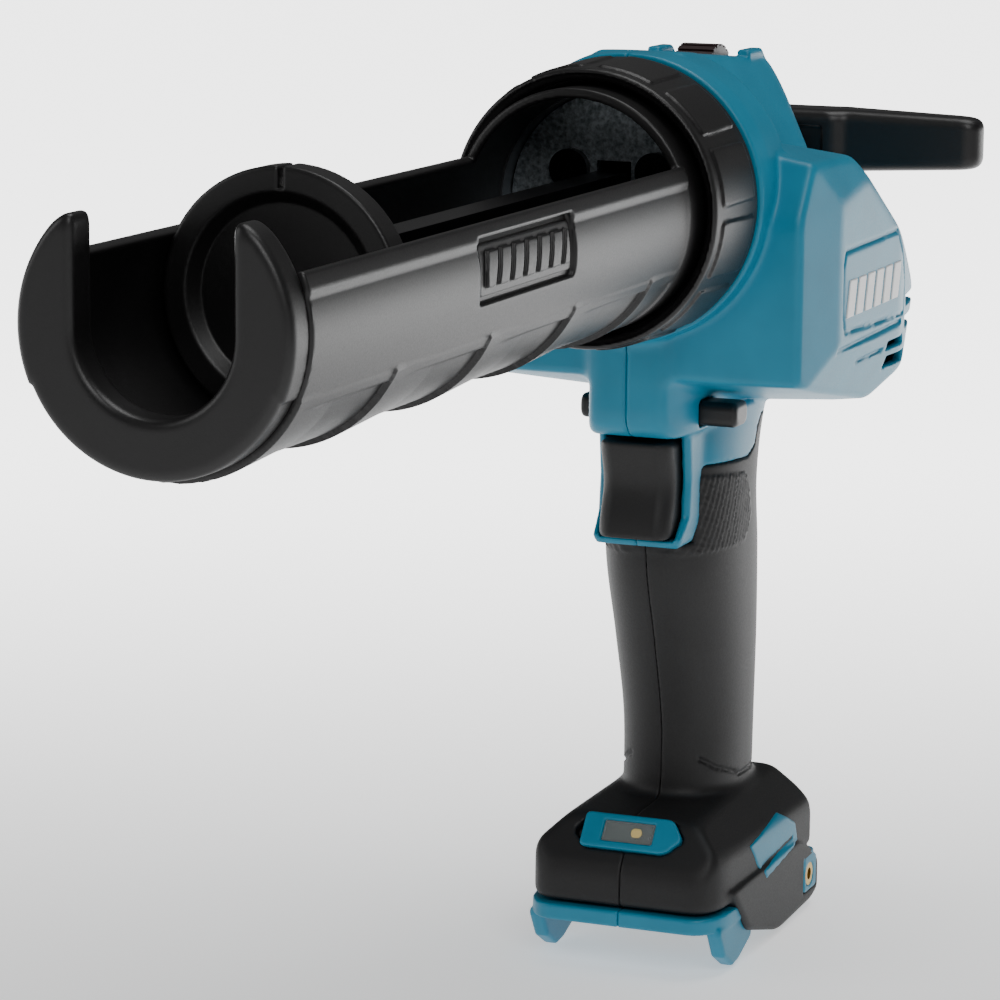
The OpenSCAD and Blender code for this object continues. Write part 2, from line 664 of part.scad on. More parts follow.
module controller_board() color("#1d5a34") difference() {
    translate([-17, -18, 11]) cube([34, 50, 1.6]);
    for (x = [-13, 13]) translate([x, 26, 10]) cylinder(r = 1.6, h = 4);
}

module terminal_block() color(hard_black) difference() {
    translate([-14, -20, 0]) cube([28, 34, 9]);
    for (x = [-8, 8]) translate([x - 0.9, -21, -1]) cube([1.8, 18, 8.5]);
}

module terminal_blades() color(brass) for (x = [-8, 8]) translate([x - 0.4, -19, 1]) cube([0.8, 16, 6.5]);

// A straight lead through the grip, from the switch down to the controller board.
module lead(x) on_axis() translate([x, lead_end.x, lead_end.y + 0.3])
    rotate([atan((lead_end.x - lead_top.x) / (lead_top.y - lead_end.y)), 0, 0])
        cylinder(r = 1, h = norm(lead_top - lead_end) - 0.3);
module lead_red() color("#b02a24") lead(-6);
module lead_black() color(hard_black) lead(6);

module housing_screws() color(steel) on_axis() for (b = boss_spots) difference() {
    union() {
        bar_x(3.4, b, -11.4, -9);
        bar_x(1.6, b, -9.1, 9);
    }
    bar_x(1.4, b, -12, -10.2);
}

housing_left();
housing_right();
grip_left();
grip_right();
foot_inserts();
badge_left();
badge_right();
holder_trough();
front_plate();
holder_badge();
retaining_ring();
gear_housing();
end_plate();
plate_screws();
rack_rod();
plunger();
plunger_screw();
pull_handle();
handle_pin();
rack_pinion();
driven_gear();
pinion_shaft();
pinion_bushes();
clutch_gear();
clutch_axle();
ring_gear();
planet_a();
planet_b();
planet_c();
carrier();
clutch_plate();
sun_shaft();
armature();
motor_bushes();
motor_can();
motor_cap();
fan();
speed_dial();
dial_pin();
dial_board();
trigger();
trigger_spring();
switch_body();
lock_button();
lock_link();
led_lens();
led_bezel();
led_board();
controller_board();
terminal_block();
terminal_blades();
lead_red();
lead_black();
housing_screws();
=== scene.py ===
"""Battery caulking gun: detailed shells, soft grip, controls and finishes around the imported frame."""

import json
import logging
import math
from dataclasses import dataclass
from enum import Enum
from typing import Callable, Sequence

import bpy
import numpy as np
from mathutils import Matrix, Vector


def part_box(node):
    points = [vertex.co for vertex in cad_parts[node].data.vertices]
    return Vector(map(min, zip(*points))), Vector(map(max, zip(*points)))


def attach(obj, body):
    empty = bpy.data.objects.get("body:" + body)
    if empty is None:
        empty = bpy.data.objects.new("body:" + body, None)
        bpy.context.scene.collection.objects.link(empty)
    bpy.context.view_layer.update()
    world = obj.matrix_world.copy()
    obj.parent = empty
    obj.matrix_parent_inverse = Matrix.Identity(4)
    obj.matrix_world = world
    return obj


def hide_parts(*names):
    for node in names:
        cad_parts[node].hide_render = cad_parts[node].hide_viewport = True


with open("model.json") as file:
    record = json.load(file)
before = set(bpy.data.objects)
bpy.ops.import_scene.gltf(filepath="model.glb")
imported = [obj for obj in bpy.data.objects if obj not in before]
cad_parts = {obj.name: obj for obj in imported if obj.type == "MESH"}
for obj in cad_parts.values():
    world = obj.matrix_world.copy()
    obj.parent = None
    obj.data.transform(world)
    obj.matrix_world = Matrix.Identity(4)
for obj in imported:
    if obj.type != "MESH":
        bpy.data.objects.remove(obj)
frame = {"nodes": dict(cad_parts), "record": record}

LOG = logging.getLogger("caulking_gun")
MM = 0.001
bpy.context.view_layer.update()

Array = np.ndarray
Shape = Callable[[Array, Array, Array], Array]
Point = tuple[float, float]


# ---------------------------------------------------------------- shape fields


def merge(a: Array, b: Array, blend: float = 0.0) -> Array:
    """Union of two distance fields.

    Args:
        a: First field, negative inside, in millimetres.
        b: Second field.
        blend: Radius of the fillet where the two meet.

    Returns:
        The joined field.
    """
    if blend <= 0:
        return np.minimum(a, b)
    h = np.maximum(blend - np.abs(a - b), 0.0)
    return np.minimum(a, b) - h * h / (4 * blend)


def meet(a: Array, b: Array, blend: float = 0.0) -> Array:
    """Intersection of two distance fields, with edges rounded by about blend."""
    return -merge(-a, -b, blend)


def cut(a: Array, b: Array, blend: float = 0.0) -> Array:
    """Field a with field b taken out of it."""
    return -merge(-a, b, blend)


def engrave(a: Array, line: Array, radius: float) -> Array:
    """Field a with a round groove of the radius along line, the distance to a path on its skin."""
    return np.maximum(a, radius - np.sqrt(a * a + line * line))


def outline(u: Array, v: Array, points: Sequence[Point], blend: float = 0.0) -> Array:
    """Field of a convex outline, whose points run counter-clockwise.

    Args:
        u: First coordinate.
        v: Second coordinate.
        points: Corners of the outline.
        blend: Rounding of the corners.

    Returns:
        Distance to the outline, negative inside.
    """
    total = None
    for (u0, v0), (u1, v1) in zip(points, list(points[1:]) + [points[0]]):
        length = math.hypot(u1 - u0, v1 - v0)
        nu, nv = (v1 - v0) / length, (u0 - u1) / length
        side = (u - u0) * nu + (v - v0) * nv
        total = side if total is None else meet(total, side, blend)
    return total


def path(u: Array, v: Array, points: Sequence[Point]) -> Array:
    """Distance in a plane to an open line through points."""
    best = None
    for (u0, v0), (u1, v1) in zip(points, points[1:]):
        du, dv = u1 - u0, v1 - v0
        t = np.clip(((u - u0) * du + (v - v0) * dv) / (du * du + dv * dv), 0.0, 1.0)
        d = np.hypot(u - u0 - t * du, v - v0 - t * dv)
        best = d if best is None else np.minimum(best, d)
    return best


def area(u: Array, v: Array, points: Sequence[Point]) -> Array:
    """Signed distance in a plane to any closed outline, convex or not."""
    near = path(u, v, list(points) + [points[0]])
    inside = np.zeros(np.broadcast(u, v).shape, bool)
    for (u0, v0), (u1, v1) in zip(points, list(points[1:]) + [points[0]]):
        if v0 == v1:
            continue
        crosses = (v0 > v) != (v1 > v)
        inside ^= crosses & (u < (u1 - u0) * (v - v0) / (v1 - v0) + u0)
    return np.where(inside, -near, near)


def planes(x: Array, y: Array, z: Array, faces: Sequence[Sequence[float]], blend: float) -> Array:
    """Field of the convex solid between flat faces.

    Args:
        x: First coordinate.
        y: Second coordinate.
        z: Third coordinate.
        faces: Normal and offset of each face, in four numbers.
        blend: Rounding of the edges.

    Returns:
        Distance to the solid, negative inside.
    """
    total = None
    for nx, ny, nz, offset in faces:
        side = (nx * x + ny * y + nz * z - offset) / math.sqrt(nx * nx + ny * ny + nz * nz)
        total = side if total is None else meet(total, side, blend)
    return total


def slab(u: Array, low: float, high: float) -> Array:
    """Field of the space between two parallel planes."""
    return np.abs(u - (low + high) / 2) - (high - low) / 2


def smooth_line(at: Array, knots: Sequence[Sequence[float]], column: int) -> Array:
    """Smooth curve through a column of knots, whose first column is the position."""
    table = np.array(sorted(tuple(k) for k in knots), float)
    xs, ys = table[:, 0], table[:, column]
    slopes = np.gradient(ys, xs)
    i = np.clip(np.searchsorted(xs, at) - 1, 0, len(xs) - 2)
    h = xs[i + 1] - xs[i]
    t = np.clip((at - xs[i]) / h, 0.0, 1.0)
    a = (1 + 2 * t) * (1 - t) ** 2 * ys[i] + t * (1 - t) ** 2 * h * slopes[i]
    b = t * t * (3 - 2 * t) * ys[i + 1] + t * t * (t - 1) * h * slopes[i + 1]
    return a + b


# ---------------------------------------------------------------- meshes


@dataclass
class Skin:
    """Vertices in millimetres, and faces, before they become an object."""

    points: Array
    faces: Array

    def mirrored(self) -> "Skin":
        """The same skin on the other side of the middle plane."""
        return Skin(self.points * np.array([-1.0, 1.0, 1.0]), self.faces[:, ::-1])

    def joined(self, other: "Skin") -> "Skin":
        """This skin and another as one."""
        moved = other.faces + len(self.points)
        return Skin(np.vstack([self.points, other.points]), np.vstack([self.faces, moved]))


def skin(shape: Shape, low: Sequence[float], high: Sequence[float], step: float) -> Skin:
    """Meshes a field with quads whose corners lie on its surface.

    Args:
        shape: Field in millimetres, negative inside.
        low: Lowest corner of the space to search.
        high: Highest corner.
        step: Spacing of the search grid.

    Returns:
        The closed skin.
    """
    axes = [np.arange(low[i], high[i] + step, step) for i in range(3)]
    size = tuple(len(a) for a in axes)
    grid = np.broadcast_to(
        shape(axes[0][:, None, None], axes[1][None, :, None], axes[2][None, None, :]), size
    ).astype(np.float32)
    solid = grid < 0
    corners = [(i, j, k) for i in (0, 1) for j in (0, 1) for k in (0, 1)]
    count = np.zeros(tuple(n - 1 for n in size), np.int8)
    for i, j, k in corners:
        count += solid[i : size[0] - 1 + i, j : size[1] - 1 + j, k : size[2] - 1 + k]
    cells = np.argwhere((count > 0) & (count < 8))
    number = np.full(count.shape, -1, np.int64)
    number[tuple(cells.T)] = np.arange(len(cells))
    total = np.zeros((len(cells), 3))
    hits = np.zeros(len(cells))
    for start in corners:
        for axis in range(3):
            if start[axis]:
                continue
            end = tuple(start[n] + (n == axis) for n in range(3))
            f0 = grid[tuple((cells + start).T)]
            f1 = grid[tuple((cells + end).T)]
            crossing = (f0 < 0) != (f1 < 0)
            t = np.where(crossing, f0 / np.where(crossing, f0 - f1, 1.0), 0.0)
            where = np.array(start)[None, :] + t[:, None] * (np.arange(3) == axis)[None, :]
            total += where * crossing[:, None]
            hits += crossing
    points = (cells + total / hits[:, None]) * step + np.array([a[0] for a in axes])
    faces = []
    for axis in range(3):
        b, c = (axis + 1) % 3, (axis + 2) % 3
        span = [slice(0, None)] * 3
        span[axis] = slice(0, -1)
        after = [slice(0, None)] * 3
        after[axis] = slice(1, None)
        spots = np.argwhere(solid[tuple(span)] != solid[tuple(after)])
        spots = spots[(spots[:, b] > 0) & (spots[:, c] > 0)]
        spots = spots[(spots[:, b] < size[b] - 1) & (spots[:, c] < size[c] - 1)]
        ring = []
        for db, dc in ((1, 1), (0, 1), (0, 0), (1, 0)):
            near = spots.copy()
            near[:, b] -= db
            near[:, c] -= dc
            ring.append(number[tuple(near.T)])
        quads = np.stack(ring, axis=1)
        inward = ~solid[tuple(spots.T)]
        quads[inward] = quads[inward][:, ::-1]
        faces.append(quads)
    return Skin(settled(shape, points, step), np.vstack(faces))


def settled(shape: Shape, points: Array, step: float) -> Array:
    """Moves points onto the surface of a field, by less than a grid step."""
    start = points.copy()
    reach = 0.05
    for _ in range(3):
        x, y, z = points.T
        value = shape(x, y, z)
        slope = np.stack(
            [
                shape(x + reach, y, z) - shape(x - reach, y, z),
                shape(x, y + reach, z) - shape(x, y - reach, z),
                shape(x, y, z + reach) - shape(x, y, z - reach),
            ],
            axis=1,
        ) / (2 * reach)
        steep = np.maximum((slope * slope).sum(axis=1), 0.2)
        points = points - slope * (value / steep)[:, None]
        drift = points - start
        far = np.maximum(np.abs(drift).max(axis=1) / (0.6 * step), 1.0)
        points = start + drift / far[:, None]
    return points


# ---------------------------------------------------------------- finishes


def linear(colour: str) -> tuple[float, float, float, float]:
    """Linear colour of an sRGB hex value."""
    parts = [int(colour[i : i + 2], 16) / 255 for i in (1, 3, 5)]
    low = [c / 12.92 if c <= 0.04045 else ((c + 0.055) / 1.055) ** 2.4 for c in parts]
    return (low[0], low[1], low[2], 1.0)


def add(tree: bpy.types.NodeTree, kind: str, settings: dict, links: dict) -> bpy.types.Node:
    """Adds a shader node.

    Args:
        tree: Node tree that takes it.
        kind: Node type without its ShaderNode prefix.
        settings: Attributes, and input values by input name.
        links: Output sockets by the input name or number that they feed.

    Returns:
        The new node.
    """
    node = tree.nodes.new("ShaderNode" + kind)
    for name, value in settings.items():
        if hasattr(node, name):
            setattr(node, name, value)
        else:
            node.inputs[name].default_value = value
    for name, source in links.items():
        tree.links.new(source, node.inputs[name])
    return node


class Kind(Enum):
    """How a surface was made; only the clear kind changes the shader, by making it transmissive."""

    MOULDED = "spark-eroded mould grain"
    SOFT = "soft overmould grain"
    ROLLED = "rolled sheet with a mottled skin"
    TURNED = "turned or ground metal"
    CLEAR = "clear moulding"


@dataclass(frozen=True)
class Finish:
    """One finish: what it is made of and what its skin looks like.

    The grain and mottle sizes are real sizes in millimetres.
    """

    name: str
    slot: str
    colour: str
    worn: str
    kind: Kind
    roughness: float
    ior: float = 1.5
    metallic: float = 0.0
    grain: float = 0.5
    depth: float = 0.03
    mottle: float = 12.0
    coat: float = 0.0

    def material(self) -> bpy.types.Material:
        """Builds the finish's shader."""
        made = bpy.data.materials.new(self.name)
        made.use_nodes = True
        tree = made.node_tree
        tree.nodes.clear()
        place = add(tree, "TexCoord", {}, {})
        where = place.outputs["Object"]
        grain = add(
            tree,
            "TexNoise",
            {"Scale": 1 / (self.grain * MM), "Detail": 3.0, "Roughness": 0.6},
            {"Vector": where},
        )
        mottle = add(
            tree,
            "TexNoise",
            {"Scale": 1 / (self.mottle * MM), "Detail": 2.0},
            {"Vector": where},
        )
        shift = add(
            tree,
            "MapRange",
            {"From Min": 0.3, "From Max": 0.7, "To Min": 0.0, "To Max": 1.0},
            {"Value": mottle.outputs["Fac"]},
        )
        tint = add(
            tree,
            "MixRGB",
            {"Color1": linear(self.colour), "Color2": linear(self.worn)},
            {"Fac": shift.outputs["Result"]},
        )
        rough = add(
            tree,
            "MapRange",
            {
                "From Min": 0.3,
                "From Max": 0.7,
                "To Min": self.roughness - 0.05,
                "To Max": self.roughness + 0.05,
            },
            {"Value": grain.outputs["Fac"]},
        )
        bump = add(
            tree,
            "Bump",
            {"Strength": 0.6, "Distance": self.depth * MM},
            {"Height": grain.outputs["Fac"]},
        )
        shader = add(
            tree,
            "BsdfPrincipled",
            {"IOR": self.ior, "Metallic": self.metallic, "Coat Weight": self.coat},
            {
                "Base Color": tint.outputs["Color"],
                "Roughness": rough.outputs["Result"],
                "Normal": bump.outputs["Normal"],
            },
        )
        if self.kind is Kind.CLEAR:
            shader.inputs["Transmission Weight"].default_value = 0.85
        add(tree, "OutputMaterial", {}, {"Surface": shader.outputs["BSDF"]})
        return made


# Glass-filled ABS, moulded with a fine matt grain: an even satin teal.
TEAL_ABS = Finish(
    "teal_moulded_abs", "teal_body", "#007d9c", "#0084a4", Kind.MOULDED, 0.42, 1.53, grain=0.45
)
# Glass-filled nylon: black with a brown-grey satin sheen and a fine grain.
BLACK_NYLON = Finish(
    "black_filled_nylon", "hard_black", "#0b0a0b", "#0f0e0f", Kind.MOULDED, 0.4, 1.53, grain=0.4
)
# Thermoplastic elastomer over the grip: dark, dull and slightly mottled.
ELASTOMER = Finish("black_elastomer", "soft_grip", "#0f0e0f", "#131213", Kind.SOFT, 0.55, 1.5, grain=0.5)
# Zinc-plated sheet steel with a mottled, passivated skin.
PLATED_STEEL = Finish(
    "plated_sheet_steel", "steel", "#dfe8ee", "#8a969d", Kind.ROLLED, 0.5, metallic=1.0, grain=0.5, mottle=1.1
)
# Ground steel for pins, shafts and gears.
GROUND_STEEL = Finish(
    "ground_steel", "steel", "#a8abae", "#9a9da1", Kind.TURNED, 0.28, metallic=1.0, grain=0.3
)
# Oil-blackened steel for the toothed rod and its plate's screws.
BLACK_STEEL = Finish(
    "oil_black_steel", "blued_steel", "#141416", "#1b1b1e", Kind.TURNED, 0.36, metallic=0.8, grain=0.3
)
# Die-cast aluminium for the gear housing and the motor can.
CAST_ALUMINIUM = Finish(
    "die_cast_aluminium", "cast_metal", "#8d9094", "#9b9ea2", Kind.TURNED, 0.45, metallic=1.0
)
# Turned brass for bushes, blades and inserts.
TURNED_BRASS = Finish(
    "turned_brass", "brass", "#c9a75a", "#bd9a4c", Kind.TURNED, 0.3, metallic=1.0, grain=0.3
)
# Solder mask over glass-fibre board.
SOLDER_MASK = Finish("green_solder_mask", "circuit_board", "#1d5a34", "#1a5230", Kind.MOULDED, 0.3, 1.5)
# Insulation of the positive lead.
RED_PVC = Finish("red_lead_pvc", "lead_red", "#b02a24", "#a52620", Kind.MOULDED, 0.45, 1.5)
# Pad-printed white ink of the blank side mark.
WHITE_INK = Finish("white_pad_print", "badge", "#e9e9e9", "#dfdfdf", Kind.MOULDED, 0.4, 1.5, grain=0.4)
# Dark red moulded thumb wheel.
RED_ABS = Finish("dark_red_abs", "dial", "#241012", "#2a1415", Kind.MOULDED, 0.4, 1.53)
# Clear polycarbonate over the work light.
CLEAR_PC = Finish(
    "clear_polycarbonate", "lens", "#eef2f4", "#e6ecef", Kind.CLEAR, 0.12, 1.58, grain=0.6, depth=0.01
)
# Yellow phosphor of the lamp's chip.
PHOSPHOR = Finish("yellow_phosphor", "lens", "#e8cf8a", "#e2c67a", Kind.MOULDED, 0.4, 1.5, grain=0.3)


class Paint:
    """Builds each finish once and gives it to pieces."""

    def __init__(self) -> None:
        """Starts with no material made."""
        self.made: dict[str, bpy.types.Material] = {}

    def material(self, finish: Finish) -> bpy.types.Material:
        """The material of a finish."""
        if finish.name not in self.made:
            self.made[finish.name] = finish.material()
        return self.made[finish.name]

    def on(self, piece: bpy.types.Object, finish: Finish) -> None:
        """Dresses a piece in one finish."""
        piece.data.materials.clear()
        piece.data.materials.append(self.material(finish))


# ---------------------------------------------------------------- places


@dataclass(frozen=True)
class Places:
    """Positions that the frame fixes, in millimetres; heights are from the barrel's axis."""

    axis_z: float
    front: float
    plate_back: float
    ring_front: float
    ring_back: float
    holder_back: float
    plunger_face: float
    hub: float
    bottom: float

    @staticmethod
    def read() -> "Places":
        """Reads the places from the frame's nodes."""
        rod = [[v / MM for v in c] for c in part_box("rack_rod")]
        plate = [[v / MM for v in c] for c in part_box("front_plate")]
        ring = [[v / MM for v in c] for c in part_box("retaining_ring")]
        trough = [[v / MM for v in c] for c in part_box("holder_trough")]
        return Places(
            axis_z=(rod[0][2] + rod[1][2]) / 2,
            front=plate[0][1],
            plate_back=plate[1][1],
            ring_front=ring[0][1],
            ring_back=ring[1][1],
            holder_back=trough[1][1],
            plunger_face=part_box("plunger")[0][1] / MM,
            hub=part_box("pull_handle")[0][1] / MM,
            bottom=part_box("housing_left")[0][2] / MM,
        )


AT = Places.read()


def piece(
    name: str, made: Skin, body: str, finish: Finish, paint: Paint, stands_for: Sequence[str] = ()
) -> bpy.types.Object:
    """Turns a skin in the barrel's frame into an object that rides on a body.

    Args:
        name: Name of the piece.
        made: Its skin, with heights from the barrel's axis.
        body: CAD body that it moves with.
        finish: Finish that covers it.
        paint: Store of materials.
        stands_for: CAD nodes that it replaces.

    Returns:
        The new object.
    """
    mesh = bpy.data.meshes.new(name)
    points = (made.points + np.array([0.0, 0.0, AT.axis_z])) * MM
    mesh.from_pydata(points.tolist(), [], made.faces.tolist())
    mesh.update()
    mesh.shade_smooth()
    thing = bpy.data.objects.new(name, mesh)
    bpy.context.scene.collection.objects.link(thing)
    paint.on(thing, finish)
    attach(thing, body)
    if stands_for:
        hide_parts(*stands_for)
    LOG.info("%s: %d points", name, len(points))
    return thing


# ---------------------------------------------------------------- holder


@dataclass
class Holder:
    """Half-open trough with its U-shaped front plate."""

    plate_r: float = 29.0
    wing_r: float = 29.57
    slot_r: float = 16.9
    horn: float = 24.0
    trough_r: float = 29.4
    side_r: float = 30.1
    bore_r: float = 27.7
    rim: float = 12.3
    rib_pitch: float = 50.7
    rib_step: float = 1.3
    rib_run: float = 26.0
    flange_r: float = 32.4

    def plate(self, x: Array, y: Array, z: Array) -> Array:
        """Field of the front plate, with its horns."""
        r = np.hypot(x, z)
        outer = merge(r - self.plate_r, meet(r - self.wing_r, -12 - z, 0.3), 0.5)
        slot = np.where(z > 0, np.abs(x), r) - self.slot_r
        flat = meet(cut(outer, slot, 2.4), z - self.horn, 5.0)
        return meet(flat, slab(y, AT.front, AT.plate_back), 2.2)

    def trough(self, x: Array, y: Array, z: Array) -> Array:
        """Field of the trough, its strips, steps and ribs, and its closed back end."""
        r = np.hypot(x, z)
        back = AT.ring_front - 7.5
        side = meet(r - self.side_r, -13.0 - z, 0.6)
        phase = np.mod(y - (AT.front + 3.0), self.rib_pitch)
        rib = self.rib_step * np.clip(1 - phase / self.rib_run, 0.0, 1.0)
        lower = meet(r - self.trough_r - rib, z + 12.4, 0.3)
        wall = merge(side, lower, 0.4)
        strip = meet(r - self.side_r - 0.6, slab(z, self.rim - 4.2, self.rim + 5), 0.3)
        wall = merge(wall, strip, 0.3)
        wall = meet(wall, z - self.rim + 0.7 * np.clip(26.8 - np.abs(x), 0.0, 3.0), 0.3)
        wall = meet(wall, slab(y, AT.plate_back - 1.0, back + 2.0))
        mouth = meet(r - self.side_r, slab(y, back, AT.holder_back), 0.6)
        flange = meet(r - self.flange_r, slab(y, AT.ring_front + 7.4, AT.holder_back), 0.5)
        body = merge(merge(wall, mouth, 0.4), flange, 1.2)
        body = cut(body, r - self.bore_r, 0.5)
        panel = meet(meet(slab(y, -215, -159), slab(z, -4.5, 9.5), 1.5), 28.7 - r, 0.2)
        body = cut(body, np.where(x > 0, panel, 9.0), 0.3)
        step = meet(meet(r - 30.25, slab(z, -15.2, -12.6), 0.3), slab(y, AT.plate_back, back), 0.3)
        return merge(body, cut(step, r - self.bore_r - 0.5), 0.2)

    def panel(self, x: Array, y: Array, z: Array) -> Array:
        """Field of the blank panel on the left side, with a row of plain raised bars."""
        r = np.hypot(x, z)
        base = meet(slab(y, -213.4, -160.6), slab(z, -3.0, 8.0), 1.0)
        floor = meet(base, slab(r, 28.5, 29.35), 0.2)
        bars = np.maximum(np.abs(np.mod(y - 0.3 * z, 7.6) - 3.8) - 2.6, slab(y, -211, -163))
        bars = meet(meet(bars, slab(z, -1.2, 6.4), 0.5), slab(r, 28.6, 30.2), 0.25)
        return np.where(x > 0, merge(floor, bars, 0.2), 9.0)

    def build(self, paint: Paint) -> None:
        """Makes and dresses the holder's pieces."""
        low, high = (26, -216, -5), (31.5, -158, 10)
        made = skin(self.panel, low, high, 0.35)
        piece("panel_skin", made, "holder", BLACK_NYLON, paint, ["holder_badge"])
        low = (-33.5, AT.front - 1, -33.5)
        high = (33.5, AT.plate_back + 1, self.horn + 1)
        made = skin(self.plate, low, high, 0.55)
        piece("front_plate_skin", made, "holder", BLACK_NYLON, paint, ["front_plate"])
        low = (-33.5, AT.plate_back - 2, -33.5)
        high = (33.5, AT.holder_back + 1, 33.5)
        made = skin(self.trough, low, high, 0.7)
        piece("trough_skin", made, "holder", BLACK_NYLON, paint, ["holder_trough"])


# ---------------------------------------------------------------- ring


@dataclass
class RetainingRing:
    """Threaded ring that clamps the holder, with raised grip pads."""

    front_r: float = 34.4
    back_r: float = 35.4
    pads: int = 12
    pad_h: float = 0.55

    def shape(self, x: Array, y: Array, z: Array) -> Array:
        """Field of the ring."""
        r = np.hypot(x, z)
        along = (y - AT.ring_front) / (AT.ring_back - AT.ring_front)
        wall = self.front_r + (self.back_r - self.front_r) * along
        body = meet(r - wall, slab(y, AT.ring_front, AT.ring_back), 1.6)
        turn = np.arctan2(z, x) / (2 * math.pi) * self.pads
        beside = (turn - np.floor(turn) - 0.5) * 2 * math.pi / self.pads * wall
        pad = meet(slab(beside, -7.2, 7.2), slab(y, AT.ring_front + 4.5, AT.ring_back - 4.0), 1.0)
        pad = meet(pad, r - wall - self.pad_h, 0.4)
        body = merge(body, pad, 0.2)
        dish = AT.ring_front + 1.0 * np.clip(33.4 - r, 0.0, 2.4)
        body = meet(body, dish - y, 0.3)
        body = engrave(body, np.abs(r - 32.9), 0.35)
        hole = np.where(y < AT.ring_front + 6.9, 31.4, 33.0)
        return cut(body, r - hole, 0.3)

    def build(self, paint: Paint) -> None:
        """Makes and dresses the ring."""
        reach = self.back_r + 1.5
        low = (-reach, AT.ring_front - 1, -reach)
        high = (reach, AT.ring_back + 1, reach)
        piece("ring_skin", skin(self.shape, low, high, 0.6), "ring", BLACK_NYLON, paint, ["retaining_ring"])


# ---------------------------------------------------------------- rod


@dataclass
class PushRod:
    """Plunger disc and pull handle on the toothed rod."""

    disc_r: float = 26.6
    hub_r: float = 9.0
    slit: float = 0.6
    screw_r: float = 4.5
    rod_x: float = 4.0
    rod_z: float = 7.5
    pin_r: float = 2.0

    def disc(self, x: Array, y: Array, z: Array) -> Array:
        """Field of the plunger, with its dished face and its slit."""
        r = np.hypot(x, z)
        face = AT.plunger_face
        dish = face + 2.6 * np.clip((21.5 - r) / 2.5, 0.0, 1.0) + 0.03 * np.clip(19 - r, 0, 19)
        plate = meet(r - self.disc_r, np.maximum(dish - y, y - face - 8), 0.7)
        back = meet(r - self.disc_r + 3, face + 6 - y, 0.3)
        plate = cut(plate, back, 0.3)
        hub = meet(r - self.hub_r, slab(y, face + 4, face + 14), 0.8)
        body = merge(plate, hub, 0.8)
        slit = np.maximum(np.maximum(np.abs(x) - self.slit, 22 - z), slab(y, face - 1, face + 9))
        body = cut(body, slit, 0.2)
        rod = np.maximum(np.maximum(np.abs(x) - self.rod_x, np.abs(z) - self.rod_z), face + 6 - y)
        screw = np.maximum(r - self.screw_r, y - face - 4.1)
        return cut(cut(body, rod), screw, 0.2)

    def handle(self, x: Array, y: Array, z: Array) -> Array:
        """Field of the pull handle: hub, bent bar and rounded tip."""
        y0 = AT.hub
        plan = merge(
            outline(x, y, [(-9, y0), (17, y0), (21, y0 + 16), (-9, y0 + 16)], 3.0),
            outline(x, y, [(12, y0 + 1.5), (56.6, y0 + 4.5), (56.6, y0 + 14.5), (12, y0 + 16)], 5.0),
            3.0,
        )
        top = 13.1 - 0.03 * np.clip(x - 18, 0, 60)
        base = -10.5 + 6.3 * np.clip((x - 8) / 10, 0, 1) + 0.05 * np.clip(x - 18, 0, 60)
        body = meet(meet(plan, z - top, 3.5), base - z, 3.5)
        window = meet(meet(slab(x, -6.5, 13), slab(z, -6, 8.5), 1.0), slab(y, y0 - 4, y0 + 1.6), 0.4)
        body = cut(body, window, 0.4)
        rod = np.maximum(np.maximum(np.abs(x) - self.rod_x, np.abs(z) - self.rod_z), y - y0 - 13)
        pin = np.maximum(np.hypot(x, y - y0 - 8) - self.pin_r, -12 - z)
        return cut(cut(body, rod), pin)

    def build(self, paint: Paint) -> None:
        """Makes and dresses the plunger and the handle."""
        face = AT.plunger_face
        low = (-28, face - 1, -28)
        high = (28, face + 16, 28)
        piece("plunger_skin", skin(self.disc, low, high, 0.5), "rod", BLACK_NYLON, paint, ["plunger"])
        low = (-11, AT.hub - 2, -13)
        high = (60, AT.hub + 18, 14)
        piece("handle_skin", skin(self.handle, low, high, 0.5), "rod", BLACK_NYLON, paint, ["pull_handle"])


# ---------------------------------------------------------------- housing

# Middle of the lock button in the side view: [y, height from the axis], and its half sizes there.
LOCK = (-20.5, -56.8)
LOCK_HALF = (5.0, 3.2)
LOCK_HOLE_HALF = (5.4, 3.6)
# Flat faces of the bulge and of the hump over it: the three parts of each normal, then its offset.
SIDE_FACES = (
    (1, 0, 0, 50), (0.958, -0.285, 0, 54.2), (0.964, -0.257, 0.066, 52.9), (1, 0, 0.035, 49.52),
    (0.949, -0.048, 0.311, 47.56), (0.987, 0.159, 0, 54.44), (0.931, -0.042, -0.361, 61.05),
)
END_FACES = (
    (0, -1, 0, 40), (0, -0.893, 0.45, 33.65), (0.163, 0, 0.987, 16.8), (0.01, 0.567, 1, 7.5),
    (0.929, 0.37, 0.68, 49.0), (0, 1, 0, 60), (0.929, 0.37, 0.336, 54.1), (0.929, 0.37, -0.266, 74.0),
    (0.929, 0.37, -1.84, 156.5), (0.068, -0.171, -0.983, 55.8), (0, -0.259, -0.966, 55.0),
    (0, 0, -1, 62), (0, 0.809, -0.588, 72.05),
)
HUMP_FACES = (
    (1, 0, 0.52, 30.33), (1, 0, 0, 27), (0, 0.085, 1, 33.0), (0, 0.894, 1, 55.8), (0.929, 0.37, 0.414, 36.1),
    (0.929, 0.37, 0.69, 43.3), (0, 1, 0, 60), (0, -1, 0, 36.5), (0, 0, -1, 30),
)
# Cooling slots at the rear: height of the lower edge, height of the slot, where it starts along y.
VENTS = ((-35, 2.5, 43.5), (-41, 3.0, 42.5), (-44.3, 2.2, 21.5), (-49.6, 3.2, 25.0))
# Where the soft cover starts, in the side view: [y, height from the axis].
COVER_EDGE = (
    (60, -62.5), (18, -62.8), (13.5, -65.5), (10, -70), (4, -72), (-18, -71.5), (-22.5, -73), (-25, -77),
    (-27, -82), (-31, -86), (-35, -92), (-60, -92), (-60, -230), (60, -230),
)


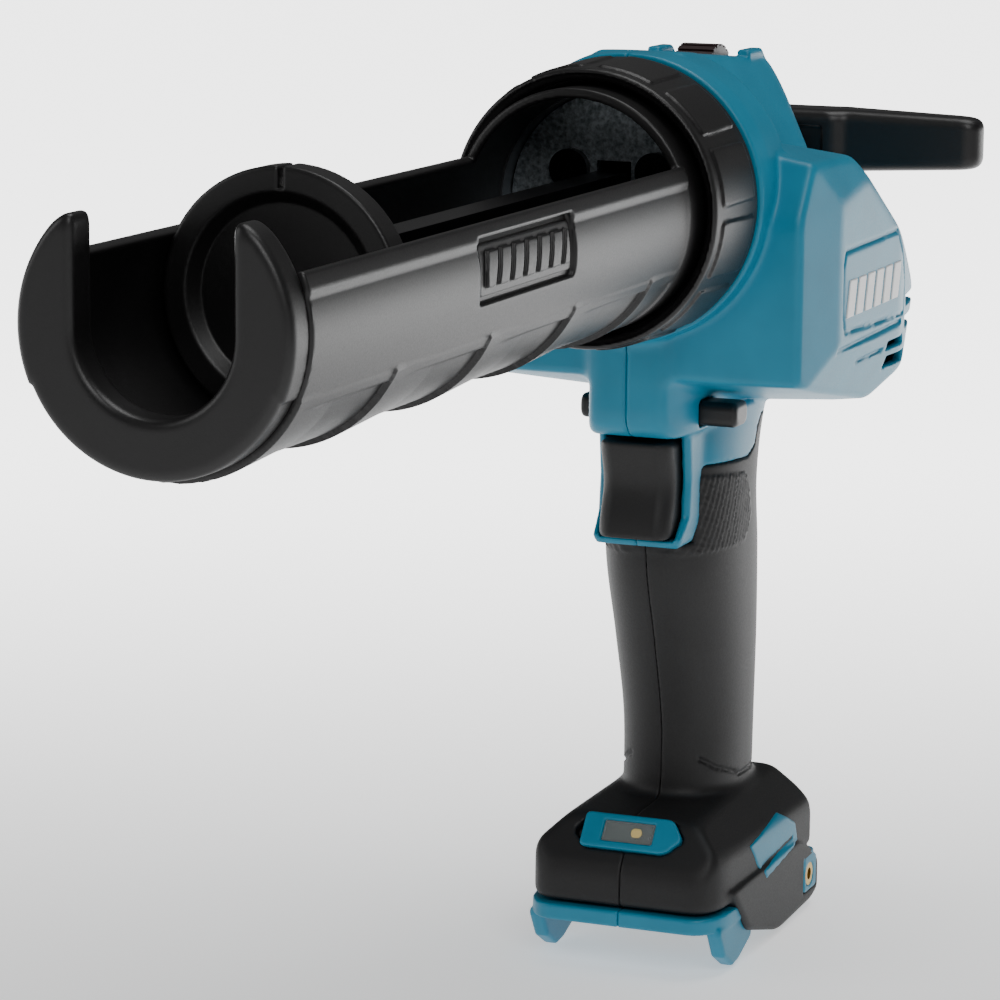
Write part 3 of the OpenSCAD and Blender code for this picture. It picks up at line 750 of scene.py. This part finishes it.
@dataclass
class Head:
    """The teal clamshell: gear and motor housing, trigger guard and foot rim."""

    wall: float = 2.5
    seam: float = 0.07
    neck_r: float = 37.0
    mouth_r: float = 32.9

    def block(self, x: Array, y: Array, z: Array) -> Array:
        """Field of the solid block over the trigger."""
        plan = outline(x, y, [(-14.5, -30), (-9.5, -43), (9.5, -43), (14.5, -30), (14.5, 8), (-14.5, 8)], 3.0)
        side = outline(y, z, [(-38, -62.2), (8, -62.2), (8, -25), (-43, -25), (-43, -57.5)], 2.5)
        return meet(plan, side, 3.0)

    def outer(self, x: Array, y: Array, z: Array) -> Array:
        """Field of the closed outer form of the head."""
        ax = np.abs(x)
        top = planes(ax, y, z, [(0, 0.085, 1, 33.0)], 0.0)
        flare = self.neck_r - 0.8 * np.clip((-38 - y) / 7, 0.0, 1.0)
        neck = meet(meet(np.hypot(x, z) - flare, slab(y, AT.ring_back + 0.3, -25), 0.7), top, 1.5)
        hump = planes(ax, y, z, HUMP_FACES, 1.6)
        bulge = meet(planes(ax, y, z, SIDE_FACES, 0.5), planes(ax, y, z, END_FACES, 1.6), 1.8)
        body = merge(merge(hump, bulge, 1.2), neck, 1.2)
        return merge(body, self.block(x, y, z), 3.0)

    def guard(self, x: Array, y: Array, z: Array) -> Array:
        """Field of the frame round the trigger and its lip."""
        side = area(y, z, [
            (-29, -58), (-27, -74), (-28, -83.5), (-33.5, -88.9), (-32, -91.2), (-22, -91.2), (-16, -84),
            (-14, -76), (-4, -70), (8, -66), (8, -58),
        ])
        lip = meet(side, np.abs(x) - 12.6 + 0.1 * np.clip(-84 - z, 0, 8), 2.0)
        shoulder = meet(GRIP.column(x, y, z), -area(y, z, COVER_EDGE) + 0.1, 0.3)
        return merge(lip, shoulder, 1.0)

    def pocket(self, x: Array, y: Array, z: Array) -> Array:
        """Field of the hollow that the trigger moves in."""
        side = outline(y, z, [(-60, -89.3), (-17, -89.3), (-14, -87.5), (-14, -62), (-60, -62)], 0.6)
        return meet(side, np.abs(x) - 10.3, 0.6)

    def rim(self, x: Array, y: Array, z: Array) -> Array:
        """Field of the foot's rim, its side plates and its latch prongs."""
        z = z + AT.axis_z
        band = meet(foot_plan(x, y, 0.5), slab(z, 0.0, 4.3), 0.8)
        prong = area(y, z, [
            (-37, 1), (-37.3, -0.6), (-33, -7.5), (-26, -11.6), (-21, -11), (-11, -7.5), (-10, 1),
        ])
        prong = meet(prong, slab(np.abs(x), 22.6, 26.6), 1.0)
        plate = area(y, z, [(-4, 6.5), (25.4, 9.8), (23.2, 15.1), (13.9, 19.9), (-13.3, 17.4), (-8.7, 11.5)])
        plate = meet(meet(plate, GRIP.foot(x, y, z - AT.axis_z) - 0.25, 0.3), 23 - np.abs(x))
        plate = engrave(plate, path(y, z, [(-6.8, 9.4), (20.8, 11.5)]), 0.5)
        square = meet(meet(slab(y, 29.6, 40.4), slab(z, -6.6, 2.6), 1.5), slab(np.abs(x), 24, 28.35), 0.3)
        square = cut(square, np.hypot(y - 34, z + 2) - 3.25, 0.2)
        return merge(merge(merge(band, prong, 0.6), plate), square)

    def lines(self, y: Array, z: Array) -> Array:
        """Distance in the side view to the grooves and the panel border of the bulge."""
        border = path(y, z, [
            (-17.7, -34.5), (-19.5, -30), (-19.5, -18), (-17.7, -14), (29, -13.4), (37.7, -22.9),
            (40.2, -28.5), (39.1, -36.4), (-17.7, -34.5),
        ])
        long_groove = path(y, z, [(-21.4, -38.8), (34.5, -38.0)])
        grooves = np.minimum(long_groove, path(y, z, [(-1.7, -44.1), (18, -43.7)]))
        return np.minimum(border + 0.25, grooves)

    def shape(self, x: Array, y: Array, z: Array) -> Array:
        """Field of the left half of the shell."""
        outer = self.outer(x, y, z)
        detailed = engrave(outer, np.where(np.abs(x) > 40, self.lines(y, z), 9.0), 0.75)
        shell = cut(detailed, outer + self.wall)
        mouth = np.maximum(np.hypot(x, z) - self.mouth_r, y + 42.6)
        shell = cut(shell, mouth, 0.2)
        ridge = meet(slab(np.abs(x), 10.6, 14.2), slab(y, 9, 24), 0.8)
        ridge = meet(ridge, meet(z - 33.9, (y - 19.5) * 0.8 + z - 33.9, 0.6), 0.9)
        shell = merge(shell, np.maximum(ridge, 27 - z), 0.5)
        shell = merge(shell, self.guard(x, y, z), 1.0)
        shell = cut(shell, self.pocket(x, y, z), 0.3)
        inner = outline(y, z, [(-14, -96), (22, -96), (22, -62), (-14, -62)], 1.0)
        shell = cut(shell, np.maximum(inner, np.abs(x) - 9.2))
        shell = cut(shell, lock_plan(y, z, LOCK_HOLE_HALF, 2.0), 0.5)
        dial = np.maximum(np.maximum(np.abs(x) - 5.5, slab(y, 0.5, 23.5)), 20 - z)
        shell = cut(shell, dial, 0.4)
        rear = np.maximum(meet(np.abs(x) - 5, np.abs(z) - 9, 1.0), 40 - y)
        shell = cut(shell, rear, 0.5)
        for low, tall, start in VENTS:
            vent = meet(slab(z, low, low + tall), slab(y, start, 60 if start > 40 else start + 17), 0.6)
            shell = cut(shell, np.maximum(vent, 40 - x), 0.3)
        return shell

    def build(self, paint: Paint) -> None:
        """Makes the left half, mirrors it and dresses both."""
        def left(x: Array, y: Array, z: Array) -> Array:
            """The shell's left half, stopped just short of the middle plane."""
            return meet(self.shape(x, y, z), self.seam - x, 0.3)

        def left_rim(x: Array, y: Array, z: Array) -> Array:
            """The rim's left half."""
            return meet(self.rim(x, y, z), self.seam - x, 0.3)

        made = skin(left, (-1, AT.ring_back - 1, -93), (52, 62, 40), 0.7)
        under = skin(left_rim, (-1, -44, -AT.axis_z - 14), (30, 44, -AT.axis_z + 22), 0.6)
        whole = made.joined(under)
        piece("shell_left", whole, "handle", TEAL_ABS, paint, ["housing_left"])
        piece("shell_right", whole.mirrored(), "handle", TEAL_ABS, paint, ["housing_right"])
        mark = skin(self.mark, (48.5, -20, -34), (51.5, 36, -18), 0.35)
        piece("mark_left", mark, "handle", WHITE_INK, paint, ["badge_left"])
        piece("mark_right", mark.mirrored(), "handle", WHITE_INK, paint, ["badge_right"])

    def mark(self, x: Array, y: Array, z: Array) -> Array:
        """Field of the blank mark: a row of slanted bars on the side."""
        along = y - 0.3 * (z + 26)
        bars = np.maximum(np.abs(np.mod(along + 16, 8.0) - 3.0) - 3.0, slab(along, -16, 30))
        body = meet(bars, slab(z, -31, -21.5), 0.6)
        return np.maximum(body, np.abs(self.outer(x, y, z) - 0.05) - 0.3)


def lock_plan(y: Array, z: Array, half: Point, blend: float) -> Array:
    """Field of the lock button's outline in the side view, with half sizes along y and z."""
    along = slab(y, LOCK[0] - half[0], LOCK[0] + half[0])
    return meet(along, slab(z, LOCK[1] - half[1], LOCK[1] + half[1]), blend)


def foot_plan(x: Array, y: Array, grow: float) -> Array:
    """Field of the foot's plan outline, grown by a little."""
    corners = [(28, -10), (28, 40), (-28, 40), (-28, -10), (-27, -35), (-22, -42), (22, -42), (27, -35)]
    return outline(x, y, corners, 3.0) - grow + 0.3


# ---------------------------------------------------------------- grip


@dataclass
class Grip:
    """Soft cover over the grip and the foot."""

    # Height from the axis, then middle along y, half width and half depth of the oval there.
    levels: tuple = (
        (-58.0, 9.5, 16.8, 35.5), (-66.0, 5.5, 17.5, 31.0), (-78.0, 2.5, 18.0, 28.0),
        (-98.0, 4.0, 18.0, 28.5), (-120.0, 8.5, 17.2, 25.5), (-143.0, 12.0, 16.2, 22.5),
        (-168.0, 12.0, 15.8, 23.0),
    )
    oval_power: float = 2.3
    seam: float = 0.06
    lamp_slope: float = 50.8
    lamp_y: float = -34.3
    lamp_high: float = 23.4

    def column(self, x: Array, y: Array, z: Array) -> Array:
        """Field of the grip's column, from its oval levels."""
        middle = smooth_line(z, self.levels, 1)
        half = smooth_line(z, self.levels, 2)
        deep = smooth_line(z, self.levels, 3)
        u, v = x / half, (y - middle) / deep
        power = self.oval_power
        k0 = np.maximum((np.abs(u) ** power + np.abs(v) ** power) ** (1 / power), 1e-3)
        k1 = np.maximum(np.hypot(u / half, v / deep), 1e-4)
        return meet(k0 * (k0 - 1) / k1, slab(z, -172, -58), 1.0)

    def foot(self, x: Array, y: Array, z: Array) -> Array:
        """Field of the foot and its side blocks."""
        z = z + AT.axis_z
        side = outline(y, z, [
            (40, 4.6), (40, 20), (35, 28.5), (-12, 28.5), (-31, 27), (-42, 14), (-42, 4.6),
        ], 2.0)
        front = outline(x, z, [(28, 4.6), (28, 16.5), (16, 28.5), (-16, 28.5), (-28, 16.5), (-28, 4.6)], 2.0)
        body = meet(meet(side, front, 2.0), foot_plan(x, y, 0.0), 2.5)
        ear = outline(y, z, [
            (-31, 9.5), (-17, -4.3), (8, -11), (38, -10), (43, -8), (42.8, 0.3), (37.7, 4.4), (25.5, 9.5),
            (-4, 10),
        ], 1.2)
        return merge(body, meet(ear, slab(np.abs(x), 24, 28.1), 1.2), 0.8)

    def shape(self, x: Array, y: Array, z: Array) -> Array:
        """Field of the whole cover, hollowed for its core."""
        column = meet(self.column(x, y, z), area(y, z, COVER_EDGE) + 0.1, 0.4)
        patch = area(y, z, [
            (-26, -95), (2, -94), (6.9, -88), (4.6, -79.5), (1, -75.8), (-21.5, -74), (-24, -76), (-27, -83),
        ])
        pips = 0.22 * np.sin(y * 2.4 + z * 1.1) * np.sin(z * 2.4 - y * 1.1)
        column = merge(column, meet(column - 0.3 - pips, patch, 0.4), 0.2)
        body = merge(column, self.foot(x, y, z), 3.0)
        crease = path(y, z, [(-17.6, -139.8), (-8.7, -151.3), (-2.7, -155.4), (8.4, -159.4), (30, -160)])
        body = engrave(body, np.where(np.abs(x) > 9, crease, 9.0), 0.6)
        body = cut(body, HEAD.outer(x, y, z) - 0.05, 0.3)
        lip = np.maximum(slab(y, -60, -20), np.maximum(np.abs(x) - 13.6, slab(z, -91.6, -40)))
        body = cut(cut(body, lip, 0.2), HEAD.pocket(x, y, z))
        core = np.maximum(area(y, z, [
            (-14, -60), (24, -60), (20, -90), (22, -120), (26, -166), (2, -166), (-2, -120), (-12, -91),
        ]), np.abs(x) - 12)
        high = z + AT.axis_z
        box = np.maximum(slab(y, -32.5, 38.5), np.maximum(np.abs(x) - 20.5, high - 20))
        lamp = self.lamp_plan(x, y, z) - 0.25
        square = np.maximum(np.maximum(slab(y, 29.5, 40.5), slab(high, -6.7, 2.7)), 24 - np.abs(x))
        return cut(cut(cut(cut(body, core), box), lamp), square)

    def tilt(self, y: Array, z: Array) -> tuple[Array, Array]:
        """Height up the sloping lamp face, and distance out of it."""
        turn = math.radians(self.lamp_slope)
        along, rise = y - self.lamp_y, z + AT.axis_z - self.lamp_high
        up = along * math.cos(turn) + rise * math.sin(turn)
        out = -along * math.sin(turn) + rise * math.cos(turn)
        return up, out

    def lamp_plan(self, x: Array, y: Array, z: Array) -> Array:
        """Field of the bezel's outline, which runs to a point on its left side."""
        up, out = self.tilt(y, z)
        plan = outline(x, up, [(-12.6, -5.0), (11.0, -5.0), (15.0, -0.5), (11.5, 4.8), (-12.6, 4.8)], 1.5)
        return np.maximum(plan, slab(out, -3.0, 5.0))

    def emitter(self, x: Array, y: Array, z: Array) -> Array:
        """Field of the small lamp chip that lies on the lens's middle."""
        up, out = self.tilt(y, z)
        return meet(meet(np.hypot(x - 2.2, up) - 1.5, slab(out, 0.2, 0.7), 0.2), slab(up, -1.3, 1.3), 0.2)

    def bezel(self, x: Array, y: Array, z: Array) -> Array:
        """Field of the lamp's bezel."""
        up, out = self.tilt(y, z)
        frame_ring = meet(self.lamp_plan(x, y, z), slab(out, -2.0, 0.9), 0.5)
        window = outline(x, up, [(-7, -3), (7, -3), (7, 3), (-7, 3)], 0.6)
        return cut(frame_ring, window, 0.5)

    def build(self, paint: Paint) -> None:
        """Makes the left half, mirrors it and dresses both."""
        def left(x: Array, y: Array, z: Array) -> Array:
            """The cover's left half."""
            return meet(self.shape(x, y, z), self.seam - x, 0.3)

        made = skin(left, (-1, -44, -AT.axis_z - 13), (30, 46, -55), 0.7)
        piece("cover_left", made, "handle", ELASTOMER, paint, ["grip_left"])
        piece("cover_right", made.mirrored(), "handle", ELASTOMER, paint, ["grip_right"])
        made = skin(self.bezel, (-16, -42, -AT.axis_z + 16), (18, -27, -AT.axis_z + 31), 0.4)
        piece("bezel_skin", made, "handle", TEAL_ABS, paint, ["led_bezel"])
        made = skin(self.emitter, (-3, -38, -AT.axis_z + 18), (8, -31, -AT.axis_z + 28), 0.3)
        piece("light_chip", made, "handle", PHOSPHOR, paint)


# ---------------------------------------------------------------- controls


@dataclass
class Controls:
    """Trigger and lock button."""

    spring_z: float = -70.0
    spring_bore_r: float = 3.2
    spring_bore_end: float = -31.0

    def trigger(self, x: Array, y: Array, z: Array) -> Array:
        """Field of the trigger, with its hollowed front and the blind bore for its spring."""
        dip = 3.2 * np.exp(-(((z + 75) / 8) ** 2))
        front = -37.9 + dip + 0.05 * np.clip(np.abs(x) - 5.5, 0, 5) ** 2 * 3.5
        body = np.maximum(front - y, slab(y, -60, -24))
        body = meet(body, outline(x, z, [(-9.8, -88.6), (9.8, -88.6), (9.8, -63.5), (-9.8, -63.5)], 2.0), 1.4)
        bore = np.hypot(x, z - self.spring_z) - self.spring_bore_r
        return cut(body, np.maximum(bore, self.spring_bore_end - y))

    def lock(self, x: Array, y: Array, z: Array) -> Array:
        """Field of the lock button's bar with rounded ends."""
        return meet(lock_plan(y, z, LOCK_HALF, 2.2), slab(x, -18.8, 24.0), 1.6)

    def build(self, paint: Paint) -> None:
        """Makes and dresses the controls."""
        made = skin(self.trigger, (-11, -40, -90), (11, -23, -62), 0.4)
        piece("trigger_skin", made, "trigger_key", ELASTOMER, paint, ["trigger"])
        made = skin(self.lock, (-20, LOCK[0] - 6, LOCK[1] - 4), (25, LOCK[0] + 6, LOCK[1] + 4), 0.4)
        piece("lock_skin", made, "lock", BLACK_NYLON, paint, ["lock_button"])


HEAD = Head()
GRIP = Grip()


# ---------------------------------------------------------------- studio


@dataclass
class Studio:
    """Pale floor, soft light and the camera."""

    camera_at: tuple = (0.3407, -0.9837, 0.3000)
    azimuth: float = 21.7
    elevation: float = 10.6
    roll: float = 0.6
    lens: float = 144.0
    floor_size: float = 12.0
    sky: float = 0.12
    softboxes: tuple = (
        ("key", (0.8, -1.3, 1.2), 0.8, 9.0),
        ("left_fill", (-1.3, -0.9, 0.7), 0.8, 4.0),
        ("top", (0.2, 0.1, 1.5), 0.9, 9.0),
    )

    def camera(self) -> None:
        """Places the camera."""
        az, el, roll = (math.radians(v) for v in (self.azimuth, self.elevation, self.roll))
        back = Vector((math.sin(az) * math.cos(el), -math.cos(az) * math.cos(el), math.sin(el)))
        right = Vector((math.cos(az), math.sin(az), 0.0))
        up = back.cross(right)
        across = right * math.cos(roll) + up * math.sin(roll)
        upright = up * math.cos(roll) - right * math.sin(roll)
        data = bpy.data.cameras.new("camera")
        data.lens = self.lens
        data.clip_end = 20
        eye = bpy.data.objects.new("camera", data)
        turn = Matrix((across, upright, back)).transposed().to_4x4()
        eye.matrix_world = Matrix.Translation(Vector(self.camera_at)) @ turn
        bpy.context.scene.collection.objects.link(eye)
        bpy.context.scene.camera = eye

    def paper(self) -> bpy.types.Material:
        """White paper with painted light: its emission, dim near the object and strong far behind it, stands
        in for light from behind, so that it grows paler away from the object.
        """
        made = bpy.data.materials.new("pale_floor")
        made.use_nodes = True
        tree = made.node_tree
        tree.nodes.clear()
        place = add(tree, "TexCoord", {}, {})
        away = add(tree, "VectorMath", {"operation": "DOT_PRODUCT"}, {0: place.outputs["Object"]})
        turn = math.radians(self.azimuth)
        away.inputs[1].default_value = (-math.sin(turn), math.cos(turn), 0.0)
        # Painted backlight: emission strength grows with distance behind the object, so the far paper glows
        # bright while the paper near the object stays dim; this glow also lights the object.
        painted_backlight = add(
            tree,
            "MapRange",
            {
                "From Min": -0.15,
                "From Max": 0.8,
                "To Min": 0.45,
                "To Max": 3.6,
                "interpolation_type": "SMOOTHSTEP",
            },
            {"Value": away.outputs["Value"]},
        )
        shader = add(
            tree,
            "BsdfPrincipled",
            {"Base Color": linear("#f6f6f6"), "Roughness": 0.9, "Emission Color": (1.0, 1.0, 1.0, 1.0)},
            {"Emission Strength": painted_backlight.outputs["Result"]},
        )
        add(tree, "OutputMaterial", {}, {"Surface": shader.outputs["BSDF"]})
        return made

    def light(self, name: str, at: Sequence[float], size: float, power: float) -> None:
        """Hangs one square softbox that faces the middle of the object."""
        data = bpy.data.lights.new(name, "AREA")
        data.size = size
        data.energy = power
        lamp = bpy.data.objects.new(name, data)
        aim = Vector((0.0, -0.1, 0.1)) - Vector(at)
        lamp.matrix_world = Matrix.Translation(Vector(at)) @ aim.to_track_quat("-Z", "Y").to_matrix().to_4x4()
        bpy.context.scene.collection.objects.link(lamp)

    def build(self) -> None:
        """Makes the floor, the lights and the camera."""
        bpy.ops.mesh.primitive_plane_add(size=self.floor_size, location=(0, 0, AT.bottom * MM))
        floor = bpy.context.object
        floor.name = "floor"
        floor.data.materials.append(self.paper())
        world = bpy.data.worlds.new("studio")
        world.use_nodes = True
        background = world.node_tree.nodes["Background"]
        background.inputs["Color"].default_value = (1, 1, 1, 1)
        background.inputs["Strength"].default_value = self.sky
        bpy.context.scene.world = world
        for name, at, size, power in self.softboxes:
            self.light(name, at, size, power)
        self.camera()


PLAIN = {
    "blued_steel": BLACK_STEEL, "steel": GROUND_STEEL, "cast_metal": CAST_ALUMINIUM, "brass": TURNED_BRASS,
    "hard_black": BLACK_NYLON, "circuit_board": SOLDER_MASK, "lead_red": RED_PVC, "badge": WHITE_INK,
    "dial": RED_ABS, "lens": CLEAR_PC, "teal_body": TEAL_ABS, "soft_grip": ELASTOMER,
}


def dress_nodes(paint: Paint) -> None:
    """Gives every CAD node that stays in view the finish of its slot."""
    slots = {s["node"]: s["material_slot"] for s in frame["record"]["subparts"]}
    for name, thing in frame["nodes"].items():
        paint.on(thing, PLATED_STEEL if name == "end_plate" else PLAIN[slots[name]])


def main() -> None:
    """Builds the gun's pieces in order, then the studio."""
    logging.basicConfig(level=logging.INFO, format="%(message)s")
    paint = Paint()
    dress_nodes(paint)
    for part in (Holder(), RetainingRing(), PushRod(), HEAD, GRIP, Controls()):
        LOG.info("building %s", type(part).__name__)
        part.build(paint)
    Studio().build()


if __name__ == "__main__":
    main()
